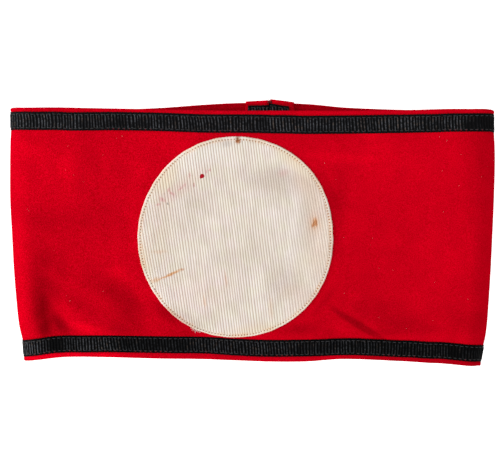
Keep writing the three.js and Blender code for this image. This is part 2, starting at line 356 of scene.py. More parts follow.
line = strip_line()
strip_length = line["run"][-1]
on_front_panel = line["facing"] == -270
front_middle = np.interp(0, line["x"][on_front_panel], line["run"][on_front_panel])


def lay(run, y, depth):
    """Where points of the strip lie: run along it, y up it and depth out from its line."""
    x, z, facing, rise = (
        np.interp(run, line["run"], line[key]) for key in ("x", "z", "facing", "rise")
    )
    lifted = y + tab_rise * rise * smoothstep(y, 0, inner_ribbon_edge)
    angle = np.radians(facing)
    return drape(x + depth * np.cos(angle), lifted, z + depth * np.sin(angle))


def under_ribbon(y):
    """1 under a ribbon and 0 just beyond its edges."""
    share = np.zeros_like(y)
    for start in (outer_ribbon_edge - ribbon_width, -half_height + lower_inset):
        end = start + ribbon_width
        share += smoothstep(y, start - bed_outside, start + bed_inside)
        share -= smoothstep(y, end - bed_inside, end + bed_outside)
    return share


def swell(run, y):
    """How far the cloth bulges out between the ribbons, and how far it is pressed in under them."""
    bulge = panel_puff * np.interp(run, line["run"], line["puff"]) * between_ribbons(y)
    return bulge - ribbon_bed * under_ribbon(y)


def spaced_runs(step, turn_step):
    """Places along the strip, closer together where it turns."""
    turning = np.abs(np.diff(line["facing"])) > 0
    edges = np.flatnonzero(np.diff(turning.astype(int))) + 1
    marks = [0, *line["run"][edges], strip_length]
    parts = []
    for start, end in zip(marks, marks[1:]):
        turns_here = turning[np.searchsorted(line["run"], (start + end) / 2) - 1]
        spaces = math.ceil((end - start) / (turn_step if turns_here else step))
        parts.append(np.linspace(start, end, max(2, spaces + 1))[:-1])
    return np.concatenate([*parts, [strip_length]])


def make_piece(name, points, faces, finish, uv_maps=None):
    """A smooth piece from points in millimetres, on the one body. uv_maps give each point's place on
    a pattern."""
    mesh = bpy.data.meshes.new(name)
    mesh.from_pydata((points.reshape(-1, 3) * mm).tolist(), [], faces)
    corners = np.zeros(len(mesh.loops), int)
    mesh.loops.foreach_get("vertex_index", corners)
    for map_name, grids in (uv_maps or {}).items():
        places = np.stack([grid.ravel() for grid in grids], 1)
        layer = mesh.uv_layers.new(name=map_name)
        layer.uv.foreach_set("vector", places[corners].astype(np.float32).ravel())
    mesh.materials.append(finish)
    mesh.shade_smooth()
    mesh.update()
    piece = bpy.data.objects.new(name, mesh)
    bpy.context.scene.collection.objects.link(piece)
    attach(piece, "root")
    return piece


def tube_faces(rings, count):
    """Quads round a row of closed rings with that many points each."""
    i, k = np.meshgrid(np.arange(rings - 1), np.arange(count), indexing="ij")
    a = (i * count + k).ravel()
    b = (i * count + (k + 1) % count).ravel()
    return np.stack([a, a + count, b + count, b], axis=1).tolist()


def cap_faces(first, count, flip):
    """Closes a ring whose points pair up across it: 1 with the last, 2 with the one before it."""
    half = count // 2
    faces = [[0, 1, count - 1]]
    faces += [[k, k + 1, count - k - 1, count - k] for k in range(1, half - 1)]
    faces += [[half - 1, half, half + 1]]
    return [[first + k for k in (reversed(face) if flip else face)] for face in faces]


def end_faces(rings, count):
    """One face at each end of such a row of rings."""
    return [list(range(count)), [(rings - 1) * count + k for k in reversed(range(count))]]


def feed(socket, source):
    """Sets a socket to a value, or links it where the source is a node's output."""
    if isinstance(source, bpy.types.NodeSocket):
        socket.id_data.links.new(source, socket)
    else:
        socket.default_value = source


def tree_of(*sources):
    """The node tree of the first source that is a node's output."""
    return next(source.id_data for source in sources if isinstance(source, bpy.types.NodeSocket))


def add_node(tree, kind, *sources, **settings):
    """A node with those settings, and with the sources on its first inputs."""
    node = tree.nodes.new("ShaderNode" + kind)
    for setting, value in settings.items():
        setattr(node, setting, value)
    for socket, source in zip(node.inputs, sources):
        feed(socket, source)
    return node


def reckon(operation, *sources):
    """A step of arithmetic on values or outputs."""
    return add_node(tree_of(*sources), "Math", *sources, operation=operation).outputs[0]


def times(*factors):
    """The product of values or outputs."""
    product = factors[0]
    for factor in factors[1:]:
        product = reckon("MULTIPLY", product, factor)
    return product


def ease(value, low, high, start=0.0, end=1.0):
    """Carries a value smoothly from low..high to start..end, and no further."""
    sources = (value, low, high, start, end)
    return add_node(value.id_data, "MapRange", *sources, interpolation_type="SMOOTHSTEP").outputs[0]


def tint(share, first, second, kind="MIX"):
    """Mixes or multiplies two colours, which are the inputs 6 and 7 of a Mix node."""
    tree = tree_of(share, first, second)
    node = add_node(tree, "Mix", share, data_type="RGBA", blend_type=kind)
    feed(node.inputs[6], first)
    feed(node.inputs[7], second)
    return node.outputs[2]


def lumps(place, size, detail=2):
    """Soft random lumps around 0.5, of about that size in millimetres."""
    node = add_node(place.id_data, "TexNoise", place)
    node.inputs["Scale"].default_value = 1 / (size * mm)
    node.inputs["Detail"].default_value = detail
    return node.outputs["Fac"]


def turned(place, x, y, turn, along, across):
    """The place as seen from an oval spot: its rim lies 1 from its middle."""
    middle = (x * mm, y * mm, 0)
    size = (along * mm, across * mm, 1)
    rotation = (0, 0, math.radians(turn))
    node = add_node(place.id_data, "Mapping", place, middle, rotation, size, vector_type="TEXTURE")
    return node.outputs["Vector"]


def stretched(place, turn, along, across):
    """The place for a pattern drawn out to so many times its size, along a turned line and across it."""
    return turned(place, 0, 0, turn, along / mm, across / mm)


def spot(place, x, y, turn, along, across, firm=0.1):
    """1 inside an oval spot, falling to 0 at its rim."""
    oval = turned(place, x, y, turn, along, across)
    away = add_node(place.id_data, "VectorMath", oval, operation="LENGTH")
    return ease(away.outputs["Value"], 1.0, firm)


def weighed_spot(place, row, column):
    """An oval spot of a table, with the strength that its column gives."""
    oval = {key: row[key] for key in ("x", "y", "turn", "along", "across", "firm") if key in row}
    return times(spot(place, **oval), row[column])


def relief(height, depth, normal=None):
    """A fine relief, of that depth in millimetres, in the direction that the surface faces."""
    node = add_node(height.id_data, "Bump")
    node.inputs["Distance"].default_value = depth * mm
    feed(node.inputs["Height"], height)
    if normal:
        feed(node.inputs["Normal"], normal)
    return node.outputs["Normal"]


def new_finish(name, roughness, specular, colour=None):
    """A material, plain where it is given a colour."""
    finish = bpy.data.materials.new(name)
    finish.use_nodes = True
    shader = shader_of(finish)
    shader.inputs["Roughness"].default_value = roughness
    shader.inputs["Specular IOR Level"].default_value = specular
    if colour:
        shader.inputs["Base Color"].default_value = colour
    return finish


def shader_of(finish):
    return finish.node_tree.nodes["Principled BSDF"]


def object_place(finish):
    return add_node(finish.node_tree, "TexCoord").outputs["Object"]


def split_place(place):
    """The three numbers of a place."""
    return add_node(place.id_data, "SeparateXYZ", place).outputs


def read_map(finish, name):
    """The two numbers of a UV map."""
    along, across, _ = split_place(add_node(finish.node_tree, "UVMap", uv_map=name).outputs["UV"])
    return along, across


# What wool, ribbon and patch share: fine grain, short lying fibres and broad clouds, all around 0.5
fibre_turns = (24, -38, 78)
fibre_stretch = (1.35, 0.32)
cloth_grain = bpy.data.node_groups.new("cloth_grain", "ShaderNodeTree")
cloth_grain.interface.new_socket("Place", in_out="INPUT", socket_type="NodeSocketVector")
for grain_output in ("Grain", "Fibres", "Clouds"):
    cloth_grain.interface.new_socket(grain_output, in_out="OUTPUT", socket_type="NodeSocketFloat")
grain_place = cloth_grain.nodes.new("NodeGroupInput").outputs["Place"]
grain_end = cloth_grain.nodes.new("NodeGroupOutput")
fibres = [lumps(stretched(grain_place, turn, *fibre_stretch), 0.6, 1) for turn in fibre_turns]
fibres_found = reckon("MAXIMUM", reckon("MAXIMUM", *fibres[:2]), fibres[2])
feed(grain_end.inputs["Grain"], lumps(grain_place, 0.42))
feed(grain_end.inputs["Fibres"], reckon("SUBTRACT", fibres_found, 0.1))
feed(grain_end.inputs["Clouds"], lumps(grain_place, 9, 1))


def add_grain(place):
    return add_node(place.id_data, "Group", place, node_tree=cloth_grain).outputs


# Bright red wool, darker where the nap lies deep, and with painted shade on the inside of the loop.
# Spots of painted light and shade, with some of the nap's own broad tone: lighter on slopes and hems
# that face the lamps and on the seam's tabs, darker in hollows, along creases, beside the patch and on
# hems that face away. The columns: the middle, the way it runs, half length, half width, how much
# lighter and, if other than soft, how firm the rim is.
painted_light_shade_and_nap_table = named_rows(
    "x y turn along across lighter firm",
    (-90, 32, 0, 20, 22, 0.08),
    (-101, -18, 87, 55, 7, 0.09),
    (-94, 38, 0, 9, 9, 0.09),
    (-77, 31, 90, 17, 7, 0.16),
    (-67, 32, 90, 17, 5.5, -0.12),
    (-49, 12, 90, 32, 7, 0.09),
    (-34, 42, 0, 22, 11, 0.14),
    (-80, 7, 0, 18, 7, -0.12),
    (-92, 8, 0, 12, 8, -0.12),
    (-88, -8, -30, 14, 7, -0.12),
    (-89.5, -26, -84, 30, 9, -0.36),
    (-91.5, -34, -82, 15, 7, -0.27),
    (-88.3, -36.5, -75, 9, 3, 0.34),
    (-91.5, -41.5, 90, 5.5, 3.6, -0.26),
    (-84, -38.8, -42, 9, 5, -0.46),
    (-74, -39.5, -12, 9, 3.6, 0.2),
    (-87, -30.5, -72, 9, 3.4, 0.2),
    (-82.5, -14, 90, 14, 4, -0.08),
    (-59.5, -15, 20, 7, 4, 0.1),
    (-48, 31, 0, 9, 7, 0.06),
    (-84, 45, 0, 18, 3, 0.1),
    (-50, 44.5, 0, 10, 3, 0.08),
    (-36, -33, -35, 19, 4.5, -0.17),
    (-59, 0, 90, 16, 4, 0.09),
    (-69, 27, 90, 9, 4, 0.1),
    (-87, 16, 0, 11, 5, 0.06),
    (49, 44, 0, 6, 3, 0.15),
    (78, 44, 0, 10, 3, 0.13),
    (-80, -25, -40, 14, 5, -0.1),
    (-69, -41.5, -20, 15, 6.5, 0.24),
    (-55, -27, -48, 18, 9, -0.16),
    (-37, -32.5, -35, 11, 6, -0.2),
    (-58, -40.5, 0, 9, 4, -0.16),
    (-54, -24.5, -50, 9, 5, -0.12),
    (-47.5, -35.5, -40, 9, 4.5, 0.12),
    (-85, 31, -70, 26, 12, 0.08),
    (-50, -36, -35, 18, 11, -0.14),
    (-31, -43, -25, 13, 6, -0.2),
    (-66, 6, 0, 13, 15, -0.07),
    (36, 14, 87, 30, 6, -0.16),
    (32.2, 22, -68, 16, 3, -0.16),
    (31, -27.5, 53, 14, 3, -0.16),
    (54, -24, 80, 24, 15, -0.08),
    (30, -41.5, -2, 34, 4.5, -0.15),
    (92, -33, 0, 12, 8, -0.08),
    (39, 35, -4, 24, 3.4, 0.14),
    (39.8, -12.5, 83, 18, 2, 0.09),
    (40, -12, 80, 24, 9, -0.06),
    (46.8, -38.4, -31.5, 18, 2.2, -0.33, 0.4),
    (36.2, -31.2, -45, 5, 1.8, -0.12),
    (58, -41.6, -8, 9, 2.6, -0.16),
    (39, -41, -10, 8, 3, 0.12),
    (31, -36, -10, 6, 2.5, -0.1),
    (80, -40, -3, 9, 3, -0.09),
    (39, -9, 90, 17, 4, -0.06),
    (89, 31, 90, 8, 5, -0.07),
    (56, -34, -5, 32, 11, -0.12),
    (22, -39, 5, 14, 4, -0.22),
    (16.5, -35.5, 20, 9, 3, -0.1),
    (53, 34, 88, 24, 10, 0.16),
    (76, 30, 0, 26, 26, 0.09),
    (82, -8, 80, 30, 18, 0.07),
    (94, 30, 88, 30, 6, -0.13),
    (70, -39, -10, 18, 7, -0.16),
    (95, -38, 0, 14, 8, -0.12),
    (-80, -53.4, 2, 34, 2.6, 0.36, 0.5),
    (74, -55, -4, 42, 2.8, -0.24, 0.5),
    (7.6, 58, 0, 12, 4, 0.3),
)

wool = new_finish("red_wool", roughness=0.95, specular=0)
wool_shader = shader_of(wool)
wool_shader.inputs["Sheen Weight"].default_value = 0.06
wool_shader.inputs["Sheen Roughness"].default_value = 0.5
wool_shader.inputs["Sheen Tint"].default_value = (1, 0.01, 0.04, 1)
wool_place = object_place(wool)
wool_grain = add_grain(wool_place)
across_band, _, height_of_wool = split_place(wool_place)
nap_middle = 0.51
nap = reckon("MULTIPLY_ADD", wool_grain["Grain"], 0.67, times(wool_grain["Fibres"], 0.34))
rougher = ease(across_band, -50 * mm, 30 * mm, 1.5, 0.9)
nap = reckon("MULTIPLY_ADD", reckon("SUBTRACT", nap, nap_middle), rougher, nap_middle)
wool_colour = tint(ease(nap, 0.36, 0.66), (0.47, 0.0, 0.004, 1), (0.73, 0.0, 0.014, 1))
tone_and_painted_shade = ease(wool_grain["Clouds"], 0.25, 0.75, 0.95, 1.05)
above_rear = ease(height_of_wool, 1.5 * mm, 4 * mm)
# Painted light and shade from the spots, kept off the rear panel
for painted_spot_row in painted_light_shade_and_nap_table:
    lighter = weighed_spot(wool_place, painted_spot_row, "lighter")
    tone_and_painted_shade = times(tone_and_painted_shade, reckon("MULTIPLY_ADD", lighter, above_rear, 1))
# Painted shade on the inner face of the loop
_, wool_side = read_map(wool, "Side")
painted_inside_shade = ease(wool_side, 0.2, 0.05, 1, 0.74)
tone_and_painted_shade = times(tone_and_painted_shade, painted_inside_shade)
shade_colour = add_node(wool.node_tree, "CombineColor", tone_and_painted_shade, tone_and_painted_shade, tone_and_painted_shade)
wool_colour = tint(1.0, wool_colour, shade_colour.outputs[0], "MULTIPLY")
feed(wool_shader.inputs["Base Color"], wool_colour)
feed(wool_shader.inputs["Normal"], relief(nap, 0.25))

face_edge = half_height - edge_round
panel_half = inner_ribbon_edge - 1
panel_step = 1.25
panel_rows = np.linspace(-panel_half, panel_half, 2 * math.ceil(panel_half / panel_step) + 1)
bed_rows = inner_ribbon_edge + np.array([-0.55, -0.25, 0.05, 0.35, 0.75, 1.5])
hem_rows = np.linspace(inner_ribbon_edge + 3, face_edge - 2, 5)
edge_rows = face_edge - np.array([1.55, 1.25, 1, 0.75, 0.5, 0.2, 0])
side_rows = np.concatenate([bed_rows, hem_rows, edge_rows])
heights = np.concatenate([-side_rows[::-1], panel_rows, side_rows])
edge_angles = np.radians(np.linspace(0, 90, 5)[1:])

# The raw ends thin to half the thickness over their last bit
raw_edge = 0.4
raw_share = 0.5
raw_steps = raw_edge * np.array([0, 0.15, 0.5, 1])
plain_start = 0.9
plain_runs = spaced_runs(step=1.3, turn_step=0.5)
plain_runs = plain_runs[(plain_runs > plain_start) & (plain_runs < strip_length - plain_start)]
runs = np.unique(np.concatenate([raw_steps, strip_length - raw_steps, plain_runs]))
from_raw_edge = np.clip(np.minimum(runs, strip_length - runs) / raw_edge, 0, 1)
fullness = np.sqrt(1 - (1 - raw_share**2) * (1 - from_raw_edge) ** 2)

# Half a section, from the middle of the lower edge to the middle of the upper one: a height and how
# far out it lies from the middle of the cloth, as a share of half the thickness
lower_arc = np.stack([-face_edge - edge_round * np.sin(edge_angles), np.cos(edge_angles)], 1)[::-1]
upper_arc = lower_arc[::-1] * [-1, 1]
half_section = np.concatenate([lower_arc, np.stack([heights, np.ones_like(heights)], 1), upper_arc])
section = np.concatenate([half_section, half_section[-2:0:-1] * [1, -1]])

run_grid, y_grid = np.meshgrid(runs, section[:, 0], indexing="ij")
out_grid = section[None, :, 1] * fullness[:, None] * cloth_thickness / 2
depth_grid = swell(run_grid, np.clip(y_grid, -face_edge, face_edge)) - cloth_thickness / 2 + out_grid
band_points = lay(run_grid, y_grid, depth_grid).reshape(-1, 3)
ring_size = len(section)
band_faces = tube_faces(len(runs), ring_size)
band_faces += cap_faces(0, ring_size, flip=False)
band_faces += cap_faces((len(runs) - 1) * ring_size, ring_size, flip=True)

# The solid band's box says where the loop's middle lies in the frame, but for the dip of the lower
# right corner, which the solid one doesn't have
corner_dip = 0.99
low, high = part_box("band")
drawn_low = band_points.min(axis=0) + [0, corner_dip, 0]
drawn_middle = (drawn_low + band_points.max(axis=0)) / 2
shift = np.array([(low.x + high.x) / 2 / mm, (low.y + high.y) / 2 / mm, 0]) - [*drawn_middle[:2], 0]
side_grid = np.broadcast_to(0.5 + section[None, :, 1] / 2, run_grid.shape)
band = make_piece(
    "wool_band",
    band_points + shift,
    band_faces,
    wool,
    {"Side": (run_grid / strip_length, side_grid)},
)
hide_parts("band")


# The ribbons: narrow black ribbed ribbon with firm selvedges, sewn round both edges along two lines
# of thread and caught in the seam with the cloth. The ribs run across it as rounded cords that lean
# and bow a little from place to place, and are crushed here and there.
rib_pitch = 1.28
steps_per_rib = 8
ribbon_gap = 0.03
ribbon_body = 0.34
rib_rise = 0.26
selvedge = 0.8
warp_pitch = 0.22
stitch_line = 0.95
stitch_pitch = 2.2
stitch_sink = 0.12
ribbon_stop = 1.05
across_ribbon = np.array(
    [0, 0.1, 0.35, 0.7, 0.95, 1.2, 1.6, 2.2, 2.8, 3.4, 4, 4.6, 5.2, 6, 6.4, 6.65, 6.9, 7.25, 7.5, 7.6]
)
under_rows = np.array([7.3, 3.8, 0.3])

# How far the ribbons stray up the front panel
stray_table = named_rows(
    "x upper lower",
    (-226, 0, 0),
    (-217, -0.25, 0),
    (-208, 0.3, 0),
    (-204, 0, 0),
    (-96, 0, 0),
    (-81, -0.15, 0.1),
    (-72, -0.2, -0.05),
    (-58, 0.3, 0.35),
    (-35, 0.25, 0.5),
    (-20, 0.1, 0.5),
    (-4, 0.2, 0.1),
    (11, -0.1, 0.2),
    (22, -0.35, 0.3),
    (34, -0.3, -0.2),
    (60, -0.2, -0.25),
    (80, -0.25, -0.05),
    (96, 0, 0),
    (200, 0, 0),
    (206, -0.4, 0),
    (217, 0.3, 0),
)


def wander(places, period, seed):
    """A smooth random line between -1 and 1 that changes over about that length."""
    knot_count = 2048
    knots = np.random.default_rng(seed).uniform(-1, 1, knot_count)
    at = np.asarray(places) / period + knot_count / 4
    i = np.floor(at).astype(int)
    return blend(knots[i % knot_count], knots[(i + 1) % knot_count], smoothstep(at - i, 0, 1))


def rib_profile(phase):
    """A rounded cord to each whole turn of the phase, with a narrow groove between cords."""
    away = np.abs(2 * (phase - np.floor(phase)) - 1)
    return 1 - away**2.2


def ribbon_lean(run, across, seed):
    """How far a rib lies along the strip from its own place, at a height across the ribbon."""
    share = 2 * across / ribbon_width - 1
    slant = -0.3 + 0.28 * wander(run, 17, seed)
    bow = 0.08 + 0.3 * wander(run, 23, seed + 1)
    hook = -0.12 * share**5
    kink = 0.22 * wander(run, 3.1, seed + 5) * wander(across, 1.7, seed + 6)
    return slant * share + bow * (1 - share**2) + hook + kink


def ribbon_edge(side, run):
    """The height of a ribbon's lower edge on the strip."""
    start = outer_ribbon_edge - ribbon_width if side > 0 else -half_height + lower_inset
    stray = read_table(stray_table, "x", "upper" if side > 0 else "lower", run - front_middle)
    return start + stray + 0.06 * wander(run, 6, 40 + side)


def ribbon_face(across):
    """How far out the ribbon's face lies, without its ribs: sunk along the lines of stitches."""
    inside = np.minimum(across, ribbon_width - across)
    edge = 0.4 + 0.6 * smoothstep(inside, -0.05, 0.2)
    sink = stitch_sink * np.exp(-(((inside - stitch_line) / 0.2) ** 2))
    return ribbon_gap - ribbon_bed + ribbon_body * edge - sink


def pressed_in_seam(run):
    """1 round the two folds of the seam, where the ribs are pressed flat."""
    fold_middle = left_allowance - seam_gap - fold_radius + math.pi * fold_radius / 2
    further = right_allowance - left_allowance
    from_end = np.where(run < strip_length / 2, run, strip_length - run - further)
    return 1 - smoothstep(np.abs(from_end - fold_middle), 2, 3.5)


def ribbon_mesh(name, side, seed, finish):
    rib_count = math.floor((strip_length - 2 * ribbon_stop) / rib_pitch)
    phase = np.arange(rib_count * steps_per_rib + 1) / steps_per_rib
    across = np.concatenate([across_ribbon, under_rows])
    phase_grid, across_grid = np.meshgrid(phase, across, indexing="ij")
    plain_run = ribbon_stop + rib_pitch * (phase_grid + 0.25 * wander(phase_grid, 2.5, seed + 3))
    run = np.clip(
        plain_run + ribbon_lean(plain_run, across_grid, seed), ribbon_stop, strip_length - ribbon_stop
    )
    inside = np.minimum(across_grid, ribbon_width - across_grid)
    vigour = 0.8 + 0.2 * wander(np.floor(phase_grid), 1, seed + 2) + 0.2 * wander(phase_grid, 7, seed + 4)
    vigour = vigour * (1 - 0.7 * pressed_in_seam(plain_run))
    ribs = rib_rise * vigour * rib_profile(phase_grid) * smoothstep(inside, selvedge, selvedge + 0.4)
    picots = 0.07 * rib_profile(phase_grid) * (1 - smoothstep(inside, 0.3, selvedge))
    depth = ribbon_face(across_grid) + ribs + picots
    depth[:, len(across_ribbon):] = ribbon_gap - ribbon_bed
    bead = 0.16 * (rib_profile(phase_grid) - 0.5) * (1 - smoothstep(inside, 0, 0.5))
    y = ribbon_edge(side, run) + across_grid + np.where(across_grid < ribbon_width / 2, -bead, bead)
    points = lay(run, y, depth) + shift
    faces = tube_faces(*run.shape) + end_faces(*run.shape)
    maps = {"Weave": (phase_grid, across_grid), "Length": (run, across_grid)}
    return make_piece(name, points, faces, finish, maps)


def from_crest(phase):
    """0 on the crest of each rib and 1 in the groove between two."""
    return reckon("ABSOLUTE", reckon("MULTIPLY_ADD", reckon("FRACT", phase), 2, -1))


# Black silk and cotton. The crests are painted grey, partly from wear and partly as a painted
# highlight, most at the left, where the light comes from, and the grooves are painted near black as
# shade. Spots make the crests lighter or darker, from wear and from painted light and shade. Now and
# then a red dot of the cloth shows at a needle hole of the outer lines of stitches.
rubbed_and_lit_table = named_rows(
    "x y turn along across rubbed firm",
    (-99, -50, 0, 8, 14, 1, 0.4),
    (-92, -50, 0, 6, 14, 0.2),
    (-86, -49, 0, 6, 14, -0.4),
    (-77, -49, 0, 8, 14, 0.35),
    (-67, -49, 0, 11, 14, 0.5, 0.4),
    (-3, -49, 0, 28, 14, 0.36, 0.4),
    (38, -49, 0, 22, 14, 0.14),
    (-63, 48, 0, 18, 14, -0.3),
    (-18, 48, 0, 12, 14, 0.25),
    (33, 48, 0, 12, 14, -0.25),
    (67, 48, 0, 17, 14, 0.25),
    (7.6, 57.5, 0, 15, 5, 0.5, 0.5),
    (-92, 48, 0, 30, 12, 0.35),
    (99, 50, 0, 12, 14, -0.85, 0.5),
    (92, -50, 0, 25, 12, -0.17),
)
black_ribbon = new_finish("black_ribbon", roughness=0.55, specular=0.025)
ribbon_phase, ribbon_across = read_map(black_ribbon, "Weave")
ribbon_run, _ = read_map(black_ribbon, "Length")
ribbon_place = object_place(black_ribbon)
ribbon_grain = add_grain(ribbon_place)
rubbed_hue = ease(lumps(ribbon_place, 2), 0.52, 0.66)
rubbed_and_highlight_colour = tint(rubbed_hue, (0.083, 0.086, 0.096, 1), (0.108, 0.085, 0.074, 1))
ribbon_inside = reckon("MINIMUM", ribbon_across, reckon("SUBTRACT", ribbon_width, ribbon_across))
# The crests carry the painted highlight and the grey of wear
crest = times(
    ease(from_crest(ribbon_phase), 0.5, 0.12),
    ease(ribbon_inside, 0.7, 1.15, 0.12, 1),
    ease(ribbon_grain["Grain"], 0.3, 0.65, 0.25, 1),
    ease(lumps(ribbon_place, 1.1, 1), 0.36, 0.6, 0.35, 1.25),
)
_, up_band, _ = split_place(ribbon_place)
lower_half = ease(up_band, 5 * mm, -5 * mm)
rubbed = ease(lumps(ribbon_place, 5), 0.38, 0.62, 0.4, 1)
rubbed = times(rubbed, reckon("MULTIPLY_ADD", lower_half, -0.6, 1))
# Each spot adds wear and painted light and shade on the crests
for worn in rubbed_and_lit_table:
    rubbed = reckon("ADD", rubbed, weighed_spot(ribbon_place, worn, "rubbed"))
crest = times(crest, reckon("MAXIMUM", rubbed, 0.05))
# Painted shade in the grooves, darker on the lower ribbon
groove_shade_colour = tint(lower_half, (0.0034, 0.0034, 0.0038, 1), (0.0012, 0.0012, 0.0013, 1))
ribbon_colour = tint(crest, groove_shade_colour, rubbed_and_highlight_colour)
hole_turn = reckon("FRACT", reckon("DIVIDE", ribbon_run, stitch_pitch))
hole_along = times(reckon("SUBTRACT", hole_turn, 0.5), stitch_pitch)
hole_across = reckon("SUBTRACT", ribbon_across, stitch_line - 0.2)
hole_away = reckon("MULTIPLY_ADD", hole_along, hole_along, times(hole_across, hole_across))
hole = ease(reckon("SQRT", hole_away), 0.34, 0.16)
some_holes = ease(ribbon_grain["Clouds"], 0.5, 0.62)
ribbon_colour = tint(times(hole, some_holes), ribbon_colour, (0.24, 0.0, 0.012, 1))
warp = reckon("SINE", times(ribbon_across, 2 * math.pi / warp_pitch))
ribbon_relief = relief(ribbon_grain["Grain"], 0.15, normal=relief(warp, 0.012))
feed(shader_of(black_ribbon).inputs["Base Color"], ribbon_colour)
feed(shader_of(black_ribbon).inputs["Normal"], ribbon_relief)

upper_ribbon = ribbon_mesh("upper_ribbon", 1, 11, black_ribbon)
lower_ribbon = ribbon_mesh("lower_ribbon", -1, 21, black_ribbon)
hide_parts("ribbon_top")
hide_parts("ribbon_bottom")


# The sewing on the ribbons: greyed black thread in short, slightly sunk stitches, two lines of them
# along each ribbon. One stitch is shaped, and its copies are bent to lie on the ribbon.
stitch_length = 1.7
thread_radius = 0.16
stitch_lift = 0.13
stitch_dip = 0.2

bpy.ops.object.select_all(action="DESELECT")
bpy.ops.mesh.primitive_uv_sphere_add(segments=6, ring_count=6, radius=1, rotation=(0, math.pi / 2, 0))
bpy.ops.object.transform_apply(location=False, rotation=True, scale=False)
stitch = bpy.context.object
stitch_points = np.array([vertex.co[:] for vertex in stitch.data.vertices])
stitch_faces = [list(face.vertices) for face in stitch.data.polygons]
bpy.data.objects.remove(stitch)


def sewn_stitches(name, centres, place, size, finish):
    """A joined mesh of stitches of that length and radius. place lays a stitch's own points, along,
    across and up, on the cloth."""
    length, radius = size
    points = []
    faces = []
    for centre in centres:
        local = stitch_points * [length / 2, radius, radius]
        faces += [[len(points) * len(stitch_points) + k for k in face] for face in stitch_faces]
        points.append(place(centre, local))
    return make_piece(name, np.concatenate(points) + shift, faces, finish)


def place_on_ribbon(centre, local):
    side, run, across, tilt = centre
    along = run + local[:, 0]
    height = across + local[:, 1] + tilt * local[:, 0]
    dip = stitch_dip * (local[:, 0] / (stitch_length / 2)) ** 2
    out = ribbon_face(height) + local[:, 2] + stitch_lift - dip
    return lay(along, ribbon_edge(side, along) + height, out)


black_thread = new_finish("black_thread", roughness=0.5, specular=0.15, colour=(0.04, 0.04, 0.043, 1))

rng = np.random.default_rng(5)
ribbon_centres = []
for side in (1, -1):
    for inset in (stitch_line, ribbon_width - stitch_line):
        for run in np.arange(ribbon_stop + stitch_pitch, strip_length - ribbon_stop - 1, stitch_pitch):
            jitter, drift, tilt = rng.uniform(-1, 1, 3)
            ribbon_centres.append((side, run + 0.12 * jitter, inset + 0.05 * drift, 0.08 * tilt))
ribbon_sewing = sewn_stitches(
    "ribbon_stitches", ribbon_centres, place_on_ribbon, (stitch_length, thread_radius), black_thread
)


# The patch: a round of fine ribbed off-white cloth, a little taller than it is wide, with its rim
# turned under and stitched down close to the fold. It is bare, and stained from age and wear.
patch_x = -6.72
patch_y = -0.05
patch_radius = 42.55
patch_waves = named_rows(
    "turns height peak",
    (2, 1.37, 81),
    (3, 0.18, -21),
    (4, 0.23, -32.6),
    (5, 0.2, -33.7),
)
patch_lean = math.radians(7)
patch_rib_pitch = 1.12
patch_rib_rise = 0.13
patch_gap = 0.02
patch_stitch_line = 1.1
patch_stitch_pitch = 1.3
columns_per_rib = 7

# Height of the patch over the wool, by how far in from its edge
rim_table = named_rows(
    "inset height",
    (0, 0.1),
    (0.12, 0.42),
    (0.3, 0.58),
    (0.5, 0.62),
    (0.8, 0.57),
    (1.1, 0.47),
    (1.4, 0.5),
    (2.2, 0.54),
    (6, 0.52),
    (7.5, 0.44),
    (50, 0.44),
)


def patch_outline(angle):
    """The radius by the angle: an oval that is a little uneven and ripples at the stitches."""
    radius = np.full_like(angle, patch_radius)
    for wave in patch_waves:
        radius += wave["height"] * np.cos(wave["turns"] * (angle - math.radians(wave["peak"])))
    return radius + 0.05 * np.cos(204 * angle) + 0.06 * np.cos(37 * angle + 1) * np.cos(5 * angle)


rim_count = 1440
rim_angles = np.linspace(-math.pi, math.pi, rim_count + 1)
rim_radius = patch_outline(rim_angles)
stitched_radius = rim_radius - patch_stitch_line
stitched_x = stitched_radius * np.cos(rim_angles)
stitched_y = stitched_radius * np.sin(rim_angles)
rim_steps = np.hypot(np.diff(stitched_x), np.diff(stitched_y))
rim_runs = np.concatenate([[0], np.cumsum(rim_steps)])
patch_stitch_count = round(rim_runs[-1] / patch_stitch_pitch)


def stitch_turn(angle):
    """How many stitches round the rim a place lies."""
    return np.interp(angle, rim_angles, rim_runs) / rim_runs[-1] * patch_stitch_count


def patch_height(angle, inset):
    """How high the patch's face lies over the wool, without its ribs: it puckers at each stitch."""
    pucker = 0.035 * np.cos(2 * math.pi * stitch_turn(angle))
    near_stitches = np.exp(-(((inset - 0.8) / 0.8) ** 2))
    return patch_gap + read_table(rim_table, "inset", "height", inset) - pucker * near_stitches


def on_front(x, y, depth):
    """Where points over the straight front panel lie, at a height over the cloth."""
    return drape(x, y, front_z + panel_puff * between_ribbons(y) + depth)


# The grid of points runs along the ribs, which lean to the left, from one edge to the other. Its
# columns lie closer together at both sides, where the outline turns.
rim_u = rim_radius * np.cos(rim_angles - patch_lean)
rim_v = rim_radius * np.sin(rim_angles - patch_lean)
left = np.argmin(rim_u)
right = np.argmax(rim_u)
upper = np.arange(right, right + (left - right) % rim_count + 1) % rim_count
lower = np.arange(left, left + (right - left) % rim_count + 1) % rim_count
across_patch = rim_u[right] - rim_u[left]
first_columns = across_patch / 2 * (1 - np.cos(np.radians(np.arange(1.2, 8, 0.6))))
even_columns = np.arange(
    first_columns[-1], across_patch - first_columns[-1], patch_rib_pitch / columns_per_rib
)
columns = np.concatenate([first_columns[:-1], even_columns, across_patch - first_columns[::-1]])
columns = columns + rim_u[left]
top_v = np.interp(columns, rim_u[upper][::-1], rim_v[upper][::-1])
low_v = np.interp(columns, rim_u[lower], rim_v[lower])
chord = (top_v - low_v)[:, None]

